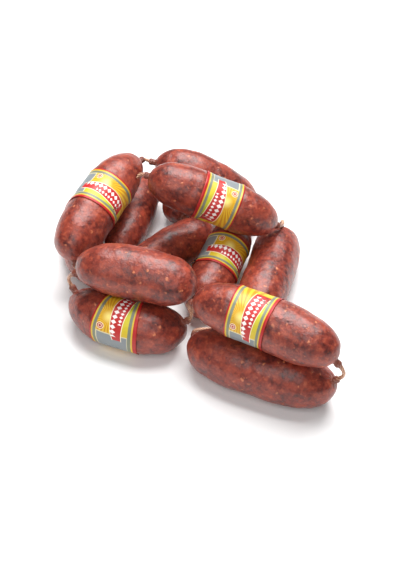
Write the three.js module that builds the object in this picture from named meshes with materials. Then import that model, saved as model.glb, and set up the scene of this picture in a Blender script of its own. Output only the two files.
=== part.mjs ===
// A string of thirteen dry-cured beef sausages, folded back and forth into a heap on a table.
// The casing is one long tube: it is filled in lengths, the links, and twisted shut between them.
// Five of the links wear a printed paper band. Millimetres, +Z up; X runs along the front of the heap.

import * as THREE from "three";

// Driving dimensions of one link.
const NECK_RADIUS = 2.4; // the gathered casing where a link ends
const NECK_LENGTH = 3.2; // how far that neck stands out of the meat
const END_FULLNESS = 4.2; // 2 would be an ellipsoid, and a higher number a blunter end
const NECK_LEAN = 9; // how far a neck is drawn out of line, towards the next link
const NECK_PULL = 0.33; // the share of the way to the next neck that it may be drawn
const NECK_BLEND = 3; // the lower, the longer the fillet between body and neck

// Driving dimensions of the band, the twist and the heap.
const BAND_WIDTH = 29;
const BAND_THICKNESS = 0.5;
const BAND_GAP = 0.3; // between the band and the link inside it
const TWIST_RADIUS = 2;
const TWIST_LOOP = 0.28; // the higher, the further a twist swings out between two necks
const TAIL_LENGTH = 8; // the tied-off casing past each end of the string, which hangs down limp
const CLEARANCE = 0.35; // left between pieces that touch
const SETTLE = 0.7; // how far the soft underside flattens on the table

// Facets.
const LINK_SIDES = 20;
const LINK_RINGS = 14;
const BAND_RINGS = 4;
const TWIST_SIDES = 8;
const SPINE_SAMPLES = 41;

// The links in their order along the string. Each runs from one neck to the other, given in plan
// as [x, y], and rise is how much higher its second neck is than its first. The middle stands off
// the straight line by bow, and lean pulls each neck sideways, towards the one it is twisted to.
const LINKS = [
  { name: "link_01", from: [-2, 127], to: [-19, 58], rise: 0, bow: [0, 0, 0], calibre: 33 },
  { name: "link_02", from: [12, 50], to: [-60, -20], rise: 0, bow: [-3, 3, 0], calibre: 33 },
  { name: "link_03", from: [-64, 18], to: [-44, 112], rise: 0, bow: [1, 0, 0], calibre: 33 },
  { name: "link_04", from: [-84, 94], to: [-76, -12], rise: 0, bow: [-12, 0, 0], calibre: 32 },
  { name: "link_05", from: [-96, -16], to: [-49, 79], rise: 19, bow: [-5, -3, 2], calibre: 37, band: 0.56 },
  { name: "link_06", from: [-34, 80], to: [47, 70], rise: -46, bow: [0, -2, 12], calibre: 34 },
  { name: "link_07", from: [31, 42], to: [-4, -43], rise: -16, bow: [0, 0, 0], calibre: 34, band: 0.43 },
  { name: "link_08", from: [-3, -57], to: [-88, -34], rise: 3, bow: [4, 4, 2], calibre: 37 },
  { name: "link_09", from: [-94, -27], to: [-9, -58], rise: 0, bow: [0, -16, 0], calibre: 37, band: 0.5 },
  { name: "link_10", from: [-5, -70], to: [90, -120], rise: -4, bow: [2, 4, 0], calibre: 36, band: 0.4 },
  { name: "link_11", from: [92, -114], to: [-13, -70], rise: 0, bow: [4, -9, 0], calibre: 38 },
  { name: "link_12", from: [35, -56], to: [64, 48], rise: 0, bow: [3, 0, 0], calibre: 36.5 },
  { name: "link_13", from: [57, 16], to: [-40, 31], rise: 36, bow: [0, 0, 2], calibre: 35, band: 0.46 },
];

// The order in which the links are laid down, from the table up.
const PILING = [11, 9, 4, 3, 2, 1, 12, 6, 7, 8, 10, 5, 13];

const UP = new THREE.Vector3(0, 0, 1);

const sausageSkin = new THREE.MeshStandardMaterial({ color: 0x7d3a30, roughness: 0.45, metalness: 0 });
const bandPaper = new THREE.MeshStandardMaterial({ color: 0xe8c52a, roughness: 0.4, metalness: 0 });
const dryCasing = new THREE.MeshStandardMaterial({ color: 0xd8b184, roughness: 0.5, metalness: 0 });

// The radius of a link's meat at u, which runs from -1 at one neck to 1 at the other.
function meatRadius(link, u) {
  const reach = 1 - NECK_LENGTH / (link.length / 2);
  const within = Math.min(1, Math.abs(u) / reach);
  const body = (link.calibre / 2) * Math.sqrt(1 - within ** END_FULLNESS);
  return (body ** NECK_BLEND + NECK_RADIUS ** NECK_BLEND) ** (1 / NECK_BLEND);
}

// The point of a link's spine at u: an arch between its necks, hooked at each end by its lean.
function spinePoint(link, u) {
  const point = new THREE.Vector3().lerpVectors(link.start, link.end, (u + 1) / 2);
  point.addScaledVector(link.arch, 1 - u * u);
  const hook = Math.max(0, (Math.abs(u) - 0.6) / 0.4) ** 2;
  point.addScaledVector(link.leans[u < 0 ? 0 : 1], hook);
  return point.setZ(point.z + link.height);
}

// Two unit vectors across the spine at u: one level, and one as upright as it can be.
function spineFrame(link, u) {
  const step = 0.01;
  const along = spinePoint(link, Math.min(1, u + step)).sub(spinePoint(link, Math.max(-1, u - step)));
  const level = new THREE.Vector3().crossVectors(along.normalize(), UP).normalize();
  return { along, level, upright: new THREE.Vector3().crossVectors(level, along) };
}

// Turns a lathed shape, whose axis is Y and whose heights are u times half the link's length, so
// that it follows the link's spine.
function followSpine(geometry, link) {
  const position = geometry.getAttribute("position");
  const p = new THREE.Vector3();
  for (let i = 0; i < position.count; i++) {
    p.fromBufferAttribute(position, i);
    const u = p.y / (link.length / 2);
    const { level, upright } = spineFrame(link, u);
    const placed = spinePoint(link, u).addScaledVector(level, p.x).addScaledVector(upright, p.z);
    position.setXYZ(i, placed.x, placed.y, placed.z);
  }
  return geometry;
}

// The soft underside spreads out flat where it would sink into the table. The floor of each corner
// of the outline is 0, or what lies between it and the table.
function pressOnTable(geometry, floors) {
  const position = geometry.getAttribute("position");
  for (let i = 0; i < position.count; i++) {
    position.setZ(i, Math.max(floors[i % floors.length], position.getZ(i)));
  }
  return geometry;
}

// Half a turn of one facet brings a flat side, and not an edge, to the bottom of each lathed piece.
const facetTurn = (sides) => Math.PI / sides;

function linkGeometry(link) {
  const half = link.length / 2;
  const reach = 1 - NECK_LENGTH / half;
  const stations = [-1];
  for (let k = 0; k <= LINK_RINGS; k++) stations.push(-reach * Math.cos((Math.PI * k) / LINK_RINGS));
  stations.push(1);
  const outline = stations.map((u) => new THREE.Vector2(meatRadius(link, u), u * half));
  outline.unshift(new THREE.Vector2(0, -half));
  outline.push(new THREE.Vector2(0, half));
  const lathed = new THREE.LatheGeometry(outline, LINK_SIDES, facetTurn(LINK_SIDES));
  return pressOnTable(followSpine(lathed, link), [link.band ? BAND_GAP + BAND_THICKNESS : 0]);
}

// A band is a sleeve of paper: the outline of its wall is lathed round the same spine.
function bandGeometry(link) {
  const half = link.length / 2;
  const middle = (2 * link.band - 1) * half;
  const wall = (gap, from, to) => {
    const points = [];
    for (let k = 0; k <= BAND_RINGS; k++) {
      const y = from + ((to - from) * k) / BAND_RINGS;
      points.push(new THREE.Vector2(meatRadius(link, y / half) + gap, y));
    }
    return points;
  };
  const low = middle - BAND_WIDTH / 2;
  const high = middle + BAND_WIDTH / 2;
  const outer = wall(BAND_GAP + BAND_THICKNESS, low, high);
  const inner = wall(BAND_GAP, high, low);
  const outline = [...outer, ...inner, outer[0]];
  const floors = [...outer.map(() => 0), ...inner.map(() => BAND_THICKNESS), 0];
  const lathed = new THREE.LatheGeometry(outline, LINK_SIDES, facetTurn(LINK_SIDES));
  return pressOnTable(followSpine(lathed, link), floors);
}

// The balls that fit in a link, centred along its spine: what it touches is found from them.
function ballsIn(link) {
  const half = link.length / 2;
  const stations = Array.from({ length: SPINE_SAMPLES }, (_, k) => (2 * k) / (SPINE_SAMPLES - 1) - 1);
  return stations.map((u) => {
    const room = stations.map((v) => Math.hypot((u - v) * half, meatRadius(link, v)));
    const banded = link.band && Math.abs((u + 1) / 2 - link.band) * link.length < BAND_WIDTH / 2 + 3;
    const radius = Math.min(...room) + (banded ? BAND_GAP + BAND_THICKNESS : 0);
    return { centre: spinePoint(link, u), radius };
  });
}

// How high above the table a link has to be, so that it clears the links already laid down.
function restingHeight(balls, laid) {
  let height = Math.max(...balls.map((b) => b.radius - SETTLE - b.centre.z));
  for (const mine of balls) {
    for (const other of laid) {
      const apart = mine.radius + other.radius + CLEARANCE;
      const across = Math.hypot(mine.centre.x - other.centre.x, mine.centre.y - other.centre.y);
      if (across >= apart) continue;
      height = Math.max(height, other.centre.z + Math.sqrt(apart ** 2 - across ** 2) - mine.centre.z);
    }
  }
  return height;
}

// Lays the links on the heap one after another, each straight down until it rests on something.
function layDown() {
  const laid = [];
  for (const number of PILING) {
    const link = LINKS[number - 1];
    link.height = 0;
    const balls = ballsIn(link);
    link.height = restingHeight(balls, laid);
    for (const ball of balls) laid.push({ ...ball, centre: ball.centre.setZ(ball.centre.z + link.height) });
  }
}

// The casing between two links draws their necks round towards each other.
function drawTogether() {
  for (let i = 1; i < LINKS.length; i++) {
    const before = LINKS[i - 1];
    const after = LINKS[i];
    const between = spinePoint(after, -1).sub(spinePoint(before, 1));
    const lean = between.multiplyScalar(NECK_PULL).clampLength(0, NECK_LEAN);
    before.leans[1].copy(lean);
    after.leans[0].copy(lean).negate();
  }
}

// The empty casing between two necks: it leaves each in line with it and turns smoothly to the other.
function twistGeometry(leaving, meeting) {
  const gap = CLEARANCE;
  const start = leaving.point.clone().addScaledVector(leaving.out, gap);
  const end = meeting.point.clone().addScaledVector(meeting.out, gap);
  const pull = start.distanceTo(end) * TWIST_LOOP;
  const path = new THREE.CubicBezierCurve3(
    start,
    start.clone().addScaledVector(leaving.out, pull),
    end.clone().addScaledVector(meeting.out, pull),
    end,
  );
  return tubeGeometry(path);
}

function tubeGeometry(path) {
  const section = new THREE.Shape();
  for (let k = 0; k < TWIST_SIDES; k++) {
    const angle = (2 * Math.PI * k) / TWIST_SIDES;
    const x = TWIST_RADIUS * Math.cos(angle);
    const y = TWIST_RADIUS * Math.sin(angle);
    if (k === 0) section.moveTo(x, y);
    else section.lineTo(x, y);
  }
  section.closePath();
  const steps = Math.max(3, Math.round(path.getLength() / (2 * TWIST_RADIUS)));
  return new THREE.ExtrudeGeometry(section, { steps, extrudePath: path, bevelEnabled: false });
}

// Where a link's casing comes out, and which way it points: side is -1 for its first neck.
function neck(link, side) {
  const { along } = spineFrame(link, side);
  return { point: spinePoint(link, side), out: along.multiplyScalar(side) };
}

// The tied-off tail past a free end of the string leaves in line with the neck and droops.
function tailGeometry({ point, out }) {
  const start = point.clone().addScaledVector(out, CLEARANCE);
  const bend = start.clone().addScaledVector(out, TAIL_LENGTH / 2);
  const tip = bend.clone().addScaledVector(out, TAIL_LENGTH / 6);
  tip.setZ(Math.max(TWIST_RADIUS, bend.z - TAIL_LENGTH / 2));
  return tubeGeometry(new THREE.QuadraticBezierCurve3(start, bend, tip));
}

const heap = new THREE.Group();

function add(name, geometry, material) {
  const mesh = new THREE.Mesh(geometry, material);
  mesh.name = name;
  heap.add(mesh);
}

for (const link of LINKS) {
  link.start = new THREE.Vector3(...link.from, 0);
  link.end = new THREE.Vector3(...link.to, link.rise);
  link.length = link.start.distanceTo(link.end);
  link.arch = new THREE.Vector3(...link.bow);
  link.leans = [new THREE.Vector3(), new THREE.Vector3()];
}
layDown();
drawTogether();
layDown();

LINKS.forEach((link, i) => {
  const number = String(i + 1).padStart(2, "0");
  add(link.name, linkGeometry(link), sausageSkin);
  if (link.band) add(`paper_band_${number}`, bandGeometry(link), bandPaper);
  const next = LINKS[i + 1];
  if (next) add(`casing_twist_${number}`, twistGeometry(neck(link, 1), neck(next, -1)), dryCasing);
});
add("casing_tail_first", tailGeometry(neck(LINKS[0], -1)), dryCasing);
add("casing_tail_last", tailGeometry(neck(LINKS.at(-1), 1)), dryCasing);

// The origin is on the table, under the middle of the heap.
const bounds = new THREE.Box3().setFromObject(heap);
const middle = bounds.getCenter(new THREE.Vector3());
heap.position.set(-middle.x, -middle.y, -bounds.min.z);

const sausageString = new THREE.Group();
sausageString.add(heap);
export default sausageString;
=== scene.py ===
# %% [markdown]
# # A string of cured sausages
#
# A dry-cured beef sausage is coarse minced meat in a long tube of casing. The tube is filled in
# lengths, the links, and twisted shut between them, so thirteen links hang together in one string.
# Here the string is folded into a heap, and five of its links wear a printed paper band.
#
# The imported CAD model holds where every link, band and twist lies. This script loads it and builds
# what the eye sees round it: skins with lumps and pleats, printed paper, and dry twisted casing.

import math

import bmesh
import bpy
import numpy as np
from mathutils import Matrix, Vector, noise


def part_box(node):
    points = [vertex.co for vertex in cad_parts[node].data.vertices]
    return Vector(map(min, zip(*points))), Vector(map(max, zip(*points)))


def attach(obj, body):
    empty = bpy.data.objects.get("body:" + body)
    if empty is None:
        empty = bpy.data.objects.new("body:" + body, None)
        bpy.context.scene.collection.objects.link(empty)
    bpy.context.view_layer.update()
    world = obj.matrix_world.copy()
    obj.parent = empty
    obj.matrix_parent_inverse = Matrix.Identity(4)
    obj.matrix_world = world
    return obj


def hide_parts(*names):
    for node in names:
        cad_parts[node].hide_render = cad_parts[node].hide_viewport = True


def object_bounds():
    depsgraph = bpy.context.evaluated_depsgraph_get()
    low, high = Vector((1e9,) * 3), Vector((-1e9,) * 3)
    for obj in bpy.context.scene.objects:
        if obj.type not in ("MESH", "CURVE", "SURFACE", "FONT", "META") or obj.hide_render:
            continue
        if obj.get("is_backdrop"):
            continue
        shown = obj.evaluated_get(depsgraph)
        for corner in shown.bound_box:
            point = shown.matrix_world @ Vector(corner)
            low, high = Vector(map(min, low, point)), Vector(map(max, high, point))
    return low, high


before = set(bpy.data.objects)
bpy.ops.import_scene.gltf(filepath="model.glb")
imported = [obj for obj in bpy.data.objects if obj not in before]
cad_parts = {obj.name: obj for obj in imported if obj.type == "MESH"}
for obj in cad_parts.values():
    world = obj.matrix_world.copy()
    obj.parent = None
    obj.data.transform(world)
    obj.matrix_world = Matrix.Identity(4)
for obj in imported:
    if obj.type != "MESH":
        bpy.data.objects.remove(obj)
cad_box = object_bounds()
MM = 0.001

print("CAD box in mm:", [[round(c / MM, 1) for c in corner] for corner in cad_box])

# %% [markdown]
# ## Camera
#
# The heap is seen from the front and from 45 degrees above, with a lens long enough that near and
# far links keep nearly the same size. The camera is aimed at a point on the table by turning it so
# that its own -Z axis runs along the line of sight.

# %% Camera
AIM = Vector((6.2, -3.3, 0)) * MM
DISTANCE = 800 * MM
ELEVATION = math.radians(45)
FOCAL_LENGTH = 66.5

line_of_sight = Vector((0, math.cos(ELEVATION), -math.sin(ELEVATION)))
camera_data = bpy.data.cameras.new("camera")
camera_data.lens = FOCAL_LENGTH
camera = bpy.data.objects.new("camera", camera_data)
camera.location = AIM - line_of_sight * DISTANCE
camera.rotation_euler = line_of_sight.to_track_quat("-Z", "Y").to_euler()
bpy.context.scene.collection.objects.link(camera)
bpy.context.scene.camera = camera

print("camera at", [round(c, 3) for c in camera.location])

# %% [markdown]
# ## Colours and nodes
#
# Colours are written the way a paint program shows them, as sRGB hex values. Blender's sockets want
# linear light, so one function turns the first into the second. Another adds a node to a material:
# its settings are named arguments, and its inputs are numbers or the sockets that feed them.

# %% Colour and node helpers
def linear(hex_colour):
    """An sRGB hex colour as linear red, green, blue and alpha."""
    parts = [int(hex_colour[i : i + 2], 16) / 255 for i in (1, 3, 5)]
    return [c / 12.92 if c <= 0.04045 else ((c + 0.055) / 1.055) ** 2.4 for c in parts] + [1]


def add(tree, kind, inputs=(), output=None, stops=None, **settings):
    """Adds a node and returns one of its outputs: the one named, or else the first in use."""
    node = tree.nodes.new(kind)
    for name, value in settings.items():
        setattr(node, name, value)
    pairs = inputs.items() if isinstance(inputs, dict) else enumerate(inputs)
    for key, value in pairs:
        used = [s for s in node.inputs if s.enabled]
        socket = used[key] if isinstance(key, int) else next(s for s in used if s.name == key)
        if isinstance(value, bpy.types.NodeSocket):
            tree.links.new(value, socket)
        else:
            socket.default_value = value
    if stops:
        ramp = node.color_ramp.elements
        while len(ramp) < len(stops):
            ramp.new(1)
        for element, (position, colour) in zip(ramp, stops):
            element.position = position
            element.color = linear(colour) if isinstance(colour, str) else [colour] * 3 + [1]
    if output:
        return node.outputs[output]
    return next(s for s in node.outputs if s.enabled)


def new_material(name):
    """A material with its Principled shader and the tree that both are in."""
    material = bpy.data.materials.new(name)
    material.use_nodes = True
    return material, material.node_tree, material.node_tree.nodes["Principled BSDF"]


def per(size_mm):
    """The scale that makes a pattern's features about this size, where coordinates are metres."""
    return 1 / (size_mm * MM)


print("white is", [round(c, 2) for c in linear("#ffffff")])

# %% [markdown]
# ## Table and light
#
# The table is a plain pale sheet. A large soft lamp hangs over the back of the heap, a little to the
# right, so each link gets a broad satin highlight along its top and a short soft shadow at its foot.
# A weaker lamp at the front keeps the near sides readable. The surroundings are only a dim white, so
# that the undersides and the gaps between the links stay darker than the tops.

# %% Table
floor_mesh = bpy.data.meshes.new("table_top")
bm = bmesh.new()
bmesh.ops.create_grid(bm, x_segments=1, y_segments=1, size=4)
bm.to_mesh(floor_mesh)
bm.free()
floor = bpy.data.objects.new("table_top", floor_mesh)
bpy.context.scene.collection.objects.link(floor)
floor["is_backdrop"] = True

# Uncoated paper scatters light evenly, so the table has no highlight of its own.
paper_white, tree, shader = new_material("matt_white_backdrop_paper")
shader.inputs["Base Color"].default_value = linear("#f6f6f6")
shader.inputs["Roughness"].default_value = 0.9
shader.inputs["Specular IOR Level"].default_value = 0.1
floor_mesh.materials.append(paper_white)

print("the table is", [round(d, 1) for d in floor.dimensions[:2]], "m")

# %% Lamps and surroundings
HEAP_MIDDLE = Vector((0, 0, 0.03))


def softbox(name, place, size, watts):
    """A square white lamp that shines from place towards the heap."""
    data = bpy.data.lights.new(name, "AREA")
    data.shape = "SQUARE"
    data.size = size
    data.energy = watts
    lamp = bpy.data.objects.new(name, data)
    lamp.location = place
    lamp.rotation_euler = (HEAP_MIDDLE - Vector(place)).to_track_quat("-Z", "Y").to_euler()
    bpy.context.scene.collection.objects.link(lamp)


softbox("back_softbox", (0.12, 0.4, 1.05), size=0.9, watts=25)
softbox("front_softbox", (-0.2, -0.75, 0.85), size=0.8, watts=6)

world = bpy.data.worlds.new("white_studio")
world.use_nodes = True
world.node_tree.nodes["Background"].inputs["Color"].default_value = (1, 1, 1, 1)
world.node_tree.nodes["Background"].inputs["Strength"].default_value = 0.12
bpy.context.scene.world = world
bpy.context.scene.view_settings.view_transform = "Standard"

# %% [markdown]
# ## Reading a link from the CAD
#
# A CAD link is a lathed shape bent along a curved line. Its mesh is stored as loose triangles, so
# it is welded first. Then it is a stack of rings of corners with a tip at each end, where twenty
# edges meet. Walking from one tip to the other, a ring at a time, gives back the curved line and
# the girth along it, and those two are all that a finer skin needs. Corners that the table has
# pressed flat are left out, since they would pull a ring's middle off the line.

# %% Rings of a CAD link
WELD = 0.001 * MM


def welded(node):
    """A CAD node's mesh in one piece."""
    bm = bmesh.new()
    bm.from_mesh(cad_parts[node].data)
    bmesh.ops.remove_doubles(bm, verts=bm.verts, dist=WELD)
    return bm


def circle_through(corners):
    """The middle and the radius of the circle that the corners of a ring lie on."""
    middle = corners.mean(0)
    across = np.linalg.svd(corners - middle)[2][:2]
    x, y = ((corners - middle) @ across.T).T
    sides = np.stack([2 * x, 2 * y, np.ones(len(x))], 1)
    a, b, c = np.linalg.lstsq(sides, x**2 + y**2, rcond=None)[0]
    return middle + a * across[0] + b * across[1], math.sqrt(c + a**2 + b**2)


def rings_of(node, towards=(1, 0.01, 0)):
    """Middles and radii of a link's rings, in the order that runs most nearly along towards."""
    bm = welded(node)
    tips = sorted(bm.verts, key=lambda v: len(v.link_edges))[-2:]
    tips.sort(key=lambda v: v.co.dot(Vector(towards)))
    ring, seen = {tips[0]}, {tips[0]}
    middles, radii = [], []
    while ring:
        corners = np.array([v.co for v in ring if v.co.z > WELD or len(ring) == 1])
        middle, radius = circle_through(corners) if len(ring) > 1 else (corners[0], 0)
        middles.append(middle)
        radii.append(radius)
        ring = {e.other_vert(v) for v in ring for e in v.link_edges} - seen
        seen |= ring
    bm.free()
    return np.array(middles), np.array(radii)


middles, radii = rings_of("link_05")
print("link_05 has", len(radii), "rings and is", round(2 * radii.max() / MM, 1), "mm thick")

# %% [markdown]
# ## A smooth path through the rings
#
# The CAD rings are few, so a smooth curve is drawn through their middles and radii. It is then cut
# into many short steps of equal length, measured along the skin from tip to tip. A place on the skin
# is from then on a share of that length and an angle round the link, with 90 degrees straight up.

# %% Smooth path
FINE_STEPS = 900


def smooth_through(values, at):
    """Reads the smooth curve through values, one per whole number, at the places at."""
    slopes = np.gradient(values, axis=0)
    k = np.clip(at.astype(int), 0, len(values) - 2)
    t = (at - k).reshape(-1, *[1] * (values.ndim - 1))
    here, there = values[k], values[k + 1]
    curve = (1 + 2 * t) * (1 - t) ** 2 * here + t**2 * (3 - 2 * t) * there
    return curve + t * (1 - t) ** 2 * slopes[k] - t**2 * (1 - t) * slopes[k + 1]


def unit(vectors):
    return vectors / np.linalg.norm(vectors, axis=-1, keepdims=True)


class Link:
    """A link's spine and girth, read at any share of the way along its skin."""

    def __init__(self, node, towards=(1, 0.01, 0)):
        middles, radii = rings_of(node, towards)
        at = np.linspace(0, len(radii) - 1, FINE_STEPS)
        self.name = node
        self.spine = smooth_through(middles, at)
        self.radii = np.maximum(smooth_through(radii, at), 0)
        ways = middles[3:-1] - middles[1:-3]
        ways = np.concatenate([ways[:1]] * 2 + [ways] + [ways[-1:]] * 2)
        self.ways = smooth_through(unit(ways), at)
        steps = np.hypot(np.linalg.norm(np.diff(self.spine, axis=0), axis=1), np.diff(self.radii))
        walked = np.concatenate([[0], np.cumsum(steps)])
        self.length = walked[-1]
        self.shares = walked / self.length

    def at(self, share):
        """Middle, radius and the two directions across, level and upright."""
        read = lambda values: np.stack([np.interp(share, self.shares, c) for c in values.T], -1)
        along = unit(read(self.ways))
        level = unit(np.cross(along, (0, 0, 1)))
        return read(self.spine), np.interp(share, self.shares, self.radii), level, np.cross(level, along)


trial = Link("link_05")
print("link_05 measures", round(trial.length / MM, 1), "mm over its skin from tip to tip")

# %% [markdown]
# ## The skin
#
# Casing shrinks as the meat dries, and the coarse mince pushes against it from inside, so the skin
# has shallow lumps. A paper band squeezes the link a little, and the casing is gathered in pleats
# where it was twisted shut. A ball with fine rings is a good start: its rings are dragged to their
# places along the link, and every corner is then moved along its normal by the height of the relief.
# Where a link rests on the table it is pressed flat.

# %% Relief of the skin
BAND_WIDTH = 29 * MM
PLEATS = 11
PLEAT_DEPTH = 0.55 * MM
PLEAT_REACH = 7 * MM


def step(low, high, values):
    """Rises smoothly from 0 at low to 1 at high."""
    t = np.clip((values - low) / (high - low), 0, 1)
    return t * t * (3 - 2 * t)


def lumps(places):
    """The height of the mince's lumps at each place: broad ones with smaller ones on them."""
    heights = []
    for place in places:
        p = Vector(place)
        broad, small = noise.noise(p / (15 * MM)), noise.noise(p / (6 * MM))
        heights.append(0.75 * MM * broad + 0.3 * MM * small)
    return np.array(heights)


def squeeze(link, share):
    """How far a band pulls the skin in: the skin swells again just outside the band's edges."""
    if link.band_share is None:
        return np.zeros(len(share))
    off = np.abs(share - link.band_share) * link.length - BAND_WIDTH / 2
    return -0.35 * MM * step(1 * MM, -2 * MM, off) + 0.25 * MM * np.exp(-((off / MM - 3) ** 2) / 6)


def pleats(link, share, angle):
    """The folds of the gathered casing, which fade out away from the tips."""
    from_tip = np.minimum(share, 1 - share) * link.length
    wander = 1.3 * np.sin(2 * angle + 40 * link.spine[0, 0] / MM) + from_tip / (5 * MM)
    fold = np.abs(np.sin(angle * PLEATS / 2 + wander)) - 0.6
    return PLEAT_DEPTH * fold * np.exp(-from_tip / PLEAT_REACH) * step(0, 2 * MM, from_tip)


print("at a link's tips the casing has", PLEATS, "pleats,", round(PLEAT_DEPTH / MM, 2), "mm deep")

# %% Make a skin
SIDES = 144
RINGS = 150

ball = bpy.data.meshes.new("ball")
bm = bmesh.new()
bm.loops.layers.uv.new("casing")
bmesh.ops.create_uvsphere(bm, u_segments=SIDES, v_segments=RINGS, radius=1, calc_uvs=True)
bm.to_mesh(ball)
bm.free()


def corners_of(mesh):
    """The places of a mesh's corners."""
    places = np.zeros(len(mesh.vertices) * 3)
    mesh.vertices.foreach_get("co", places)
    return places.reshape(-1, 3)


def normals_of(mesh):
    normals = np.zeros(len(mesh.vertices) * 3, np.float32)
    mesh.vertex_normals.foreach_get("vector", normals)
    return normals.reshape(-1, 3)


def put_corners(mesh, places):
    mesh.vertices.foreach_set("co", places.astype(np.float32).ravel())
    mesh.update()


def new_piece(name, mesh, material, node):
    """An object for a finished mesh, which stands for a CAD node and rides with the heap."""
    piece = bpy.data.objects.new(name, mesh)
    bpy.context.scene.collection.objects.link(piece)
    mesh.materials.append(material)
    mesh.shade_smooth()
    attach(piece, "root")
    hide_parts(node)
    return piece


def skin_mesh(link):
    mesh = ball.copy()
    x, y, z = corners_of(mesh).T
    share = np.arccos(np.clip(z, -1, 1)) / math.pi
    angle = np.arctan2(y, x)
    middle, radius, level, upright = link.at(share)
    outward = np.cos(angle)[:, None] * level + np.sin(angle)[:, None] * upright
    places = middle + radius[:, None] * outward
    put_corners(mesh, places)
    relief = lumps(places) * step(1 * MM, 8 * MM, radius) + squeeze(link, share)
    relief += pleats(link, share, angle)
    places = places + normals_of(mesh) * relief[:, None]
    places[:, 2] = np.maximum(places[:, 2], link.floor)
    put_corners(mesh, places)
    dryness = mesh.attributes.new("dryness", "FLOAT", "POINT")
    dryness.data.foreach_set("value", step(6 * MM, 2.6 * MM, radius).astype(np.float32))
    return mesh


print("the ball has", len(ball.polygons), "faces")

# %% [markdown]
# ## Cured sausage casing
#
# The casing is beef gut, a thin clear skin that dries onto the meat, so the colours are the meat's:
# brick red, with maroon lean patches, orange smears of fat and a few small specks. It is smoked and
# lightly oiled, which gives a satin surface with soft, broken highlights. Three patterns make the
# colours: wide patches, a grain of the size of the mince, and smears and specks, which are the cells
# of a warped Voronoi pattern. Fine wrinkles and the specks stand up a little as bump.

# %% Casing material
PATCH = 13  # mm, the patches of leaner and fatter mince
GRAIN = 3.6  # mm, the pieces of mince
SMEAR_SPACING = 8.5  # mm, between smears of fat under the skin
SPECK_SPACING = 4.6  # mm, between specks of fat
CRUMB_SPACING = 2.5  # mm, between the smallest crumbs of fat
WRINKLE = 2.4  # mm, the creases of the dried skin
WARP = 3.4  # mm, how far round shapes are pulled out of round

casing, tree, shader = new_material("smoked_beef_casing_over_cured_mince")
place = add(tree, "ShaderNodeTexCoord", output="Object")
warp = add(tree, "ShaderNodeTexNoise", {"Vector": place, "Scale": per(2.6), "Detail": 2.0}, output="Color")
warped = add(
    tree, "ShaderNodeVectorMath", {0: warp, 1: (WARP * MM,) * 3, 2: place}, operation="MULTIPLY_ADD"
)

patches = add(tree, "ShaderNodeTexNoise", {"Vector": place, "Scale": per(PATCH), "Detail": 2.0})
patch_colour = add(
    tree, "ShaderNodeValToRGB", [patches], stops=[(0.34, "#451816"), (0.5, "#833225"), (0.66, "#a2452f")]
)
grain = add(
    tree,
    "ShaderNodeTexNoise",
    {"Vector": warped, "Scale": per(GRAIN), "Detail": 3.0, "Roughness": 0.6},
)
grain_colour = add(
    tree,
    "ShaderNodeValToRGB",
    [grain],
    stops=[(0.34, "#3a1312"), (0.45, "#752b20"), (0.56, "#933a28"), (0.7, "#bd5d3e")],
)
meat = add(
    tree, "ShaderNodeMix", {"Factor": 0.55, "A": patch_colour, "B": grain_colour}, data_type="RGBA"
)


def fat(colour, spacing, radius, chosen, fat_colour):
    """Lays soft blots of fat, sized in mm, over a colour, in the chosen share of Voronoi cells."""
    cells = add(tree, "ShaderNodeTexVoronoi", {"Vector": warped, "Scale": per(spacing)}).node
    near = add(
        tree,
        "ShaderNodeMapRange",
        {0: cells.outputs["Distance"], 1: radius / spacing, 2: 0.35 * radius / spacing},
        interpolation_type="SMOOTHSTEP",
    )
    lottery = add(tree, "ShaderNodeSeparateColor", [cells.outputs["Color"]]).node
    holds = add(tree, "ShaderNodeMath", [lottery.outputs[0], 1 - chosen], operation="GREATER_THAN")
    strength = add(tree, "ShaderNodeMath", [holds, lottery.outputs[1]], operation="MULTIPLY")
    speck = add(tree, "ShaderNodeMath", [near, strength], operation="MULTIPLY")
    inputs = {"Factor": speck, "A": colour, "B": linear(fat_colour)}
    return speck, add(tree, "ShaderNodeMix", inputs, data_type="RGBA")


meat = fat(meat, SMEAR_SPACING, 3.4, 0.3, "#a8442f")[1]
specks, meat = fat(meat, SPECK_SPACING, 1.4, 0.3, "#d07a52")
meat = fat(meat, CRUMB_SPACING, 0.9, 0.25, "#aa5539")[1]
dryness = add(tree, "ShaderNodeAttribute", output="Fac", attribute_name="dryness")
skin_colour = add(
    tree, "ShaderNodeMix", {"Factor": dryness, "A": meat, "B": linear("#7d4030")}, data_type="RGBA"
)
tree.links.new(skin_colour, shader.inputs["Base Color"])

print("the casing's colour is made of", len(tree.nodes), "nodes")

# %% Casing surface
wrinkles = add(
    tree, "ShaderNodeTexNoise", {"Vector": warped, "Scale": per(WRINKLE), "Detail": 3.0, "Roughness": 0.55}
)
raised = add(tree, "ShaderNodeMath", [specks, 0.35, wrinkles], operation="MULTIPLY_ADD")
bumpy = add(tree, "ShaderNodeBump", {"Strength": 0.75, "Distance": 0.8 * MM, "Height": raised})
tree.links.new(bumpy, shader.inputs["Normal"])
smear = add(tree, "ShaderNodeMapRange", {0: grain, 1: 0.3, 2: 0.7, 3: 0.34, 4: 0.5})
tree.links.new(smear, shader.inputs["Roughness"])
shader.inputs["IOR"].default_value = 1.45
shader.inputs["Coat Weight"].default_value = 0.3
shader.inputs["Coat Roughness"].default_value = 0.3

print(casing.name, "has", len(tree.nodes), "nodes")

# %% [markdown]
# ## The links
#
# Each link is read from its CAD node. Where a link wears a band, the band's own node tells how far
# along the link it sits, and the table below says which way the top of its print faces and how far
# the middle of the print is turned from straight up.

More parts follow.
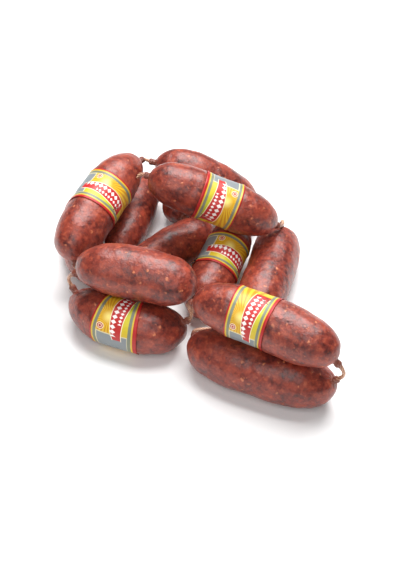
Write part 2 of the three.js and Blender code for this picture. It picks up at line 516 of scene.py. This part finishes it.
# %% Links
LINK_COUNT = 13
BANDS = {  # towards: where the sunny side of the print faces. turn: degrees from straight up
    5: {"towards": (0.4, 1, 0), "turn": 28},
    7: {"towards": (0.3, 1, 0), "turn": 32},
    9: {"towards": (-1, 0.1, 0), "turn": -25},
    10: {"towards": (-1, 0.4, 0), "turn": -42},
    13: {"towards": (1, -0.3, 0), "turn": 55},
}
BAND_FLOOR = 0.4 * MM

links = {}
for number in range(1, LINK_COUNT + 1):
    print_side = BANDS.get(number, {}).get("towards", (1, 0.01, 0))
    link = Link(f"link_{number:02d}", print_side)
    link.band_share, link.floor = None, 0
    if number in BANDS:
        low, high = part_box(f"paper_band_{number:02d}")
        gap = np.linalg.norm(link.spine - np.array((low + high) / 2), axis=1)
        link.band_share, link.floor = link.shares[gap.argmin()], BAND_FLOOR
    new_piece(f"sausage_{number:02d}", skin_mesh(link), casing, link.name)
    links[number] = link

print(len(links), "links, from", round(min(k.length for k in links.values()) / MM), "mm over the skin")

# %% [markdown]
# ## Paper bands
#
# A band is a strip of thin glossy paper, printed, wrapped round the link and glued where its ends
# lap underneath. It is made flat as a fine grid, in the real strip's own millimetres, and that flat
# place is kept as its UV map, so the print is drawn on it as on a drawing board. Then it is wrapped:
# it follows the skin, stands off a little at both edges, and one end rides over the other.

# %% Make a band
LAP = 6 * MM
PAPER = 0.18 * MM
PAPER_LIFT = 0.12 * MM


def band_mesh(link, turn):
    radius = float(link.at(np.array([link.band_share]))[1][0])
    strip = 2 * math.pi * radius + LAP
    bm = bmesh.new()
    bmesh.ops.create_grid(bm, x_segments=180, y_segments=28, size=0.5)
    mesh = bpy.data.meshes.new("paper_band")
    bm.to_mesh(mesh)
    bm.free()
    flat = corners_of(mesh)[:, :2] * (strip, BAND_WIDTH)
    corner = np.zeros(len(mesh.loops), int)
    mesh.loops.foreach_get("vertex_index", corner)
    print_places = (flat[corner] / MM).astype(np.float32)
    mesh.uv_layers.new(name="print").uv.foreach_set("vector", print_places.ravel())
    share = link.band_share + flat[:, 1] / link.length
    angle = math.pi / 2 - math.radians(turn) - flat[:, 0] / radius
    middle, girth, level, upright = link.at(share)
    outward = np.cos(angle)[:, None] * level + np.sin(angle)[:, None] * upright
    skin = middle + girth[:, None] * outward
    edge = step(0.32, 0.5, np.abs(flat[:, 1]) / BAND_WIDTH)
    over = step(0.5 - 1.6 * LAP / strip, 0.5 - LAP / strip, flat[:, 0] / strip)
    lift = PAPER_LIFT + squeeze(link, share) + 0.35 * MM * edge + 2.2 * PAPER * over
    places = skin + outward * (lift + lumps(skin))[:, None]
    places[:, 2] = np.maximum(places[:, 2], PAPER)
    put_corners(mesh, places)
    return mesh


print("a strip is", BAND_WIDTH / MM, "mm wide")

# %% [markdown]
# ## Printed paper
#
# The print is laid out on the strip's own millimetres: across runs round the link, and up runs
# along it, with zero at the middle of the print. Red and yellow rules frame both edges. Between them
# a golden sky has sun rays over a red ribbon, and a lime ground lies under it. A real label would
# carry a name on the ribbon, a seal and small print. This one has plain ornaments in those places.
# Coated paper is smooth, so it shines more sharply than the casing does.

# %% Paper and its millimetres
paper, tree, shader = new_material("gloss_coated_paper_offset_print")
sheet = add(tree, "ShaderNodeUVMap", uv_map="print")
split = add(tree, "ShaderNodeSeparateXYZ", [sheet]).node
across, up = split.outputs["X"], split.outputs["Y"]
INK_EDGE = 0.12  # mm over which one ink ends and the next begins


def within(value, low, high):
    """1 where value lies from low to high, and 0 elsewhere."""
    rise = add(tree, "ShaderNodeMapRange", {0: value, 1: low - INK_EDGE, 2: low + INK_EDGE})
    fall = add(tree, "ShaderNodeMapRange", {0: value, 1: high + INK_EDGE, 2: high - INK_EDGE})
    return add(tree, "ShaderNodeMath", [rise, fall], operation="MULTIPLY")


def both(*masks):
    """1 where every mask is 1."""
    result = masks[0]
    for mask in masks[1:]:
        result = add(tree, "ShaderNodeMath", [result, mask], operation="MULTIPLY")
    return result


def distance_to(x, y):
    """The distance in mm from a point of the print, and how far across and up that is."""
    dx = add(tree, "ShaderNodeMath", [across, x], operation="SUBTRACT")
    dy = add(tree, "ShaderNodeMath", [up, y], operation="SUBTRACT")
    both_ways = add(tree, "ShaderNodeCombineXYZ", [dx, dy])
    return add(tree, "ShaderNodeVectorMath", [both_ways], output="Value", operation="LENGTH"), dx, dy


print("the paper's first nodes:", [node.name for node in tree.nodes][:4])

# %% Sky, rays and ground
SUN = (-3, 4)
RAYS = 34
from_sun, sun_x, sun_y = distance_to(*SUN)
bearing = add(tree, "ShaderNodeMath", [sun_y, sun_x], operation="ARCTAN2")
spokes = add(tree, "ShaderNodeMath", [bearing, RAYS], operation="MULTIPLY")
spokes = add(tree, "ShaderNodeMath", [spokes], operation="SINE")
ray = add(tree, "ShaderNodeMapRange", {0: spokes, 1: -0.35, 2: 0.35, 3: 0.0, 4: 0.75})
glow = add(tree, "ShaderNodeMapRange", {0: from_sun, 1: 5.0, 2: 1.0})
gold, lemon, pale_lemon = linear("#cf8f16"), linear("#eac832"), linear("#f3df7e")
sky = add(tree, "ShaderNodeMix", {"Factor": ray, "A": gold, "B": lemon}, data_type="RGBA")
sky = add(tree, "ShaderNodeMix", {"Factor": glow, "A": sky, "B": pale_lemon}, data_type="RGBA")
ground = add(
    tree,
    "ShaderNodeValToRGB",
    [add(tree, "ShaderNodeMapRange", {0: across, 1: -18, 2: 18})],
    stops=[(0.0, "#d9b22c"), (0.5, "#cbc42a"), (0.8, "#a9b428"), (1.0, "#ceba30")],
)

print(RAYS, "rays round the sun at", SUN, "mm")

# %% Ribbon
RIBBON_MIDDLE = -1.5
RIBBON_TILT = -0.03
RIBBON_ARCH = -0.006
arch = add(tree, "ShaderNodeMath", [across, across], operation="MULTIPLY")
arch = add(tree, "ShaderNodeMath", [arch, RIBBON_ARCH, RIBBON_MIDDLE], operation="MULTIPLY_ADD")
slope = add(tree, "ShaderNodeMath", [across, RIBBON_TILT, arch], operation="MULTIPLY_ADD")
ribbon_up = add(tree, "ShaderNodeMath", [up, slope], operation="SUBTRACT")
half_height = add(tree, "ShaderNodeMapRange", {0: across, 1: -19, 2: 6, 3: 2.4, 4: 5.2})
off_middle = add(tree, "ShaderNodeMath", [ribbon_up], operation="ABSOLUTE")
past_edge = add(tree, "ShaderNodeMath", [off_middle, half_height], operation="SUBTRACT")
ribbon = both(within(past_edge, -20, 0), within(across, -19, 19))
outline = both(within(past_edge, 0, 0.45), within(across, -19.5, 19.5))
above = within(ribbon_up, 0, 40)
field = add(tree, "ShaderNodeMix", {"Factor": above, "A": ground, "B": sky}, data_type="RGBA")


def lozenges(pitch, height, size, start, end):
    """A row of lozenges on the ribbon."""
    turned = add(tree, "ShaderNodeMath", [across, 1 / pitch], operation="MULTIPLY")
    turned = add(tree, "ShaderNodeMath", [turned], operation="FRACT")
    turned = add(tree, "ShaderNodeMath", [turned, 0.5], operation="SUBTRACT")
    turned = add(tree, "ShaderNodeMath", [turned], operation="ABSOLUTE")
    along = add(tree, "ShaderNodeMath", [turned, pitch], operation="MULTIPLY")
    off = add(tree, "ShaderNodeMath", [ribbon_up, height], operation="SUBTRACT")
    off = add(tree, "ShaderNodeMath", [off], operation="ABSOLUTE")
    off = add(tree, "ShaderNodeMath", [off, 0.85, along], operation="MULTIPLY_ADD")
    return both(within(off, -5, size), within(across, start, end))


print("the ribbon's middle is at", RIBBON_MIDDLE, "mm")

# %% Seal, panel and peppercorns
SEAL = (-11, 8)
from_seal = distance_to(*SEAL)[0]
panel = both(within(across, -33.5, -15.6), within(up, -9, 9.8))
panel_frame = both(within(across, -34.3, -14.8), within(up, -9.8, 10.6))
corns = add(tree, "ShaderNodeTexVoronoi", {"Vector": sheet, "Scale": 0.62}, voronoi_dimensions="2D")
peppercorns = both(within(corns, -1, 0.3), within(distance_to(15.5, -7.6)[0], -5, 3.4))

print("the seal is at", SEAL, "mm")

# %% Inks, in printing order
red, yellow, slate, cream = "#b3201f", "#d8b835", "#7b806d", "#fbf2d2"
inks = [
    (panel_frame, "#d9cfa6"),
    (panel, "#83898c"),
    (outline, cream),
    (ribbon, "#bd2624"),
    (lozenges(3.6, 1.9, 1.6, -16.2, 16.2), "#fff7f2"),
    (lozenges(2.7, -2.2, 1.05, -6.8, 14.9), "#fff7f2"),
    (within(from_seal, -5, 2.4), cream),
    (within(from_seal, -5, 2.0), red),
    (within(from_seal, 0.9, 1.3), cream),
    (peppercorns, "#4b3526"),
    (within(up, 10.5, 12.5), slate),
    (within(up, 12.5, 13.5), yellow),
    (within(up, 13.5, 20), red),
    (within(up, -11.3, -9.3), slate),
    (within(up, -12.2, -11.3), yellow),
    (within(up, -20, -12.2), red),
]
for mask, ink in inks:
    inputs = {"Factor": mask, "A": field, "B": linear(ink)}
    field = add(tree, "ShaderNodeMix", inputs, data_type="RGBA")
tree.links.new(field, shader.inputs["Base Color"])
fibres = add(tree, "ShaderNodeTexNoise", {"Vector": sheet, "Scale": 0.35, "Detail": 2.0})
tree.links.new(
    add(tree, "ShaderNodeBump", {"Strength": 0.4, "Distance": 0.2 * MM, "Height": fibres}),
    shader.inputs["Normal"],
)
shader.inputs["Roughness"].default_value = 0.44
shader.inputs["IOR"].default_value = 1.5

print("the print is made of", len(inks), "inks and", len(tree.nodes), "nodes")

# %% Wrap the bands
for number, band in BANDS.items():
    link = links[number]
    node = f"paper_band_{number:02d}"
    mesh = band_mesh(link, band["turn"])
    piece = new_piece(f"printed_band_{number:02d}", mesh, paper, node)
    wall = piece.modifiers.new("paper_thickness", "SOLIDIFY")
    wall.thickness = PAPER
    wall.offset = 1

print(len(BANDS), "bands")

# %% [markdown]
# ## Twisted casing
#
# Between two links the casing is empty and twisted tight, like a sweet's wrapper, and it has dried
# to a pale, stiff cord, still red where it leaves the meat. A cylinder with many rings is a good
# start: its rings are led along a curve from neck to neck, widened where they cover the necks, and
# given folds that wind round as they go.

# %% Casing of a twist
TWIST_FOLDS = 5
TURNS_PER_MM = 0.09
NECK_COVER = 1.8 * MM
CORD_SIDES = 40
CORD_RINGS = 56


def cord_mesh(points, girth, flatness, redness):
    """A folded tube round a cubic Bezier curve, whose last three arguments are given for its rings."""
    bm = bmesh.new()
    bmesh.ops.create_cone(
        bm, cap_ends=True, segments=CORD_SIDES, radius1=1, radius2=1, depth=1
    )
    sides = [e for e in bm.edges if abs(e.verts[0].co.z - e.verts[1].co.z) > 0.5]
    bmesh.ops.subdivide_edges(bm, edges=sides, cuts=CORD_RINGS)
    mesh = bpy.data.meshes.new("cord")
    bm.to_mesh(mesh)
    bm.free()
    x, y, z = corners_of(mesh).T
    t = np.clip(z + 0.5, 0, 1)[:, None]
    a, b, c, d = points
    line = (1 - t) ** 3 * a + 3 * (1 - t) ** 2 * t * b + 3 * (1 - t) * t**2 * c + t**3 * d
    way = unit((1 - t) ** 2 * (b - a) + 2 * (1 - t) * t * (c - b) + t**2 * (d - c))
    level = unit(np.cross(way, (0.1, 0.05, 1)))
    upright = np.cross(level, way)
    angle = np.arctan2(y, x)
    length = np.linalg.norm(np.diff(line[np.argsort(t[:, 0])], axis=0), axis=1).sum()
    turned = 2 * math.pi * TURNS_PER_MM * length / MM * t[:, 0]
    wound = angle * TWIST_FOLDS / 2 + turned * TWIST_FOLDS / 2
    fold = np.abs(np.sin(wound))
    radius = girth(t[:, 0]) * (0.8 + 0.26 * fold)
    radius *= 1 + 0.06 * np.sin(19 * t[:, 0] + 3 * angle)
    offset = np.cos(angle)[:, None] * level + (np.sin(angle) * flatness(t[:, 0]))[:, None] * upright
    places = line + radius[:, None] * offset
    places[:, 2] = np.maximum(places[:, 2], 0.1 * MM)
    put_corners(mesh, places)
    for name, values in (("fold", fold), ("redness", redness(t[:, 0]))):
        mesh.attributes.new(name, "FLOAT", "POINT").data.foreach_set("value", values.astype(np.float32))
    return mesh


print("a cord has", CORD_SIDES, "sides and", CORD_RINGS, "rings of edges between its ends")

# %% Dry casing material
dried, tree, shader = new_material("air_dried_empty_beef_casing")
place = add(tree, "ShaderNodeTexCoord", output="Object")
cloudy = add(tree, "ShaderNodeTexNoise", {"Vector": place, "Scale": per(2.5), "Detail": 3.0})
fold = add(tree, "ShaderNodeAttribute", output="Fac", attribute_name="fold")
# Painted light: the ridges of the folds are painted paler as a highlight, and the creases between them are
# painted darker as shade, over the cloudy tan of the dried casing.
painted_fold_light = add(tree, "ShaderNodeMath", [fold, 0.6, cloudy], operation="MULTIPLY_ADD")
tan_with_painted_fold_light = add(
    tree, "ShaderNodeValToRGB", [painted_fold_light], stops=[(0.4, "#6b3526"), (0.75, "#a86c4f"), (1.0, "#d8ab8a")]
)
redness = add(tree, "ShaderNodeAttribute", output="Fac", attribute_name="redness")
cord_colour = add(
    tree, "ShaderNodeMix", {"Factor": redness, "A": tan_with_painted_fold_light, "B": linear("#6a2c23")}, data_type="RGBA"
)
tree.links.new(cord_colour, shader.inputs["Base Color"])
creases = add(tree, "ShaderNodeTexNoise", {"Vector": place, "Scale": per(0.8), "Detail": 2.0})
tree.links.new(
    add(tree, "ShaderNodeBump", {"Strength": 0.5, "Distance": 0.2 * MM, "Height": creases}),
    shader.inputs["Normal"],
)
shader.inputs["Roughness"].default_value = 0.42
shader.inputs["IOR"].default_value = 1.5
shader.inputs["Coat Weight"].default_value = 0.15
shader.inputs["Coat Roughness"].default_value = 0.2

print(dried.name, "is ready")

# %% Twists between links
def neck(link, near):
    """The tip of a link that is nearest to a place, and the way out of it."""
    ends = [(link.spine[0], -link.ways[0]), (link.spine[-1], link.ways[-1])]
    return min(ends, key=lambda end: np.linalg.norm(end[0] - near))


def middle_of(node):
    low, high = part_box(node)
    return np.array((low + high) / 2)


WAIST = 1.2 * MM
FLARE = 1.6 * MM


def waisted(t):
    return WAIST + FLARE * np.abs(2 * t - 1) ** 5


def round_cord(t):
    return np.ones_like(t)


def red_at_both_necks(t):
    return 0.9 * np.abs(2 * t - 1) ** 2


for number in range(1, LINK_COUNT):
    node = f"casing_twist_{number:02d}"
    near = middle_of(node)
    (start, leaving), (end, meeting) = neck(links[number], near), neck(links[number + 1], near)
    pull = 0.4 * np.linalg.norm(end - start)
    start, end = start - leaving * NECK_COVER, end - meeting * NECK_COVER
    reach = pull + NECK_COVER
    curve = (start, start + leaving * reach, end + meeting * reach, end)
    mesh = cord_mesh(curve, waisted, round_cord, red_at_both_necks)
    new_piece(f"twist_{number:02d}", mesh, dried, node)

print(LINK_COUNT - 1, "twists")

# %% Tails
TAIL = 8 * MM


def tail_girth(t):
    return WAIST + FLARE * np.clip(1 - 2 * t, 0, 1) ** 3 + 1.0 * MM * step(0.55, 1, t)


def tail_flatness(t):
    return 1 - 0.55 * step(0.5, 1, t)


def red_at_the_neck(t):
    return 0.9 * (1 - t) ** 2


for node, number in (("casing_tail_first", 1), ("casing_tail_last", LINK_COUNT)):
    start, out = neck(links[number], middle_of(node))
    bend = start + out * TAIL / 2
    tip = bend + out * TAIL / 6 - np.array((0, 0, TAIL / 2))
    tip[2] = max(tip[2], 2 * WAIST)
    curve = (start - out * NECK_COVER, start + out * TAIL / 4, bend, tip)
    mesh = cord_mesh(curve, tail_girth, tail_flatness, red_at_the_neck)
    new_piece(node.replace("casing_", ""), mesh, dried, node)

print("2 tails, each", round(TAIL / MM), "mm long before it droops")

# %% Print both sizes and finish
sizes = {"cad": [list(c) for c in cad_box], "visual": [list(c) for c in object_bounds()]}
for name, (low, high) in sizes.items():
    print(name, "in mm:", [round((h - l) / MM, 1) for l, h in zip(low, high)])
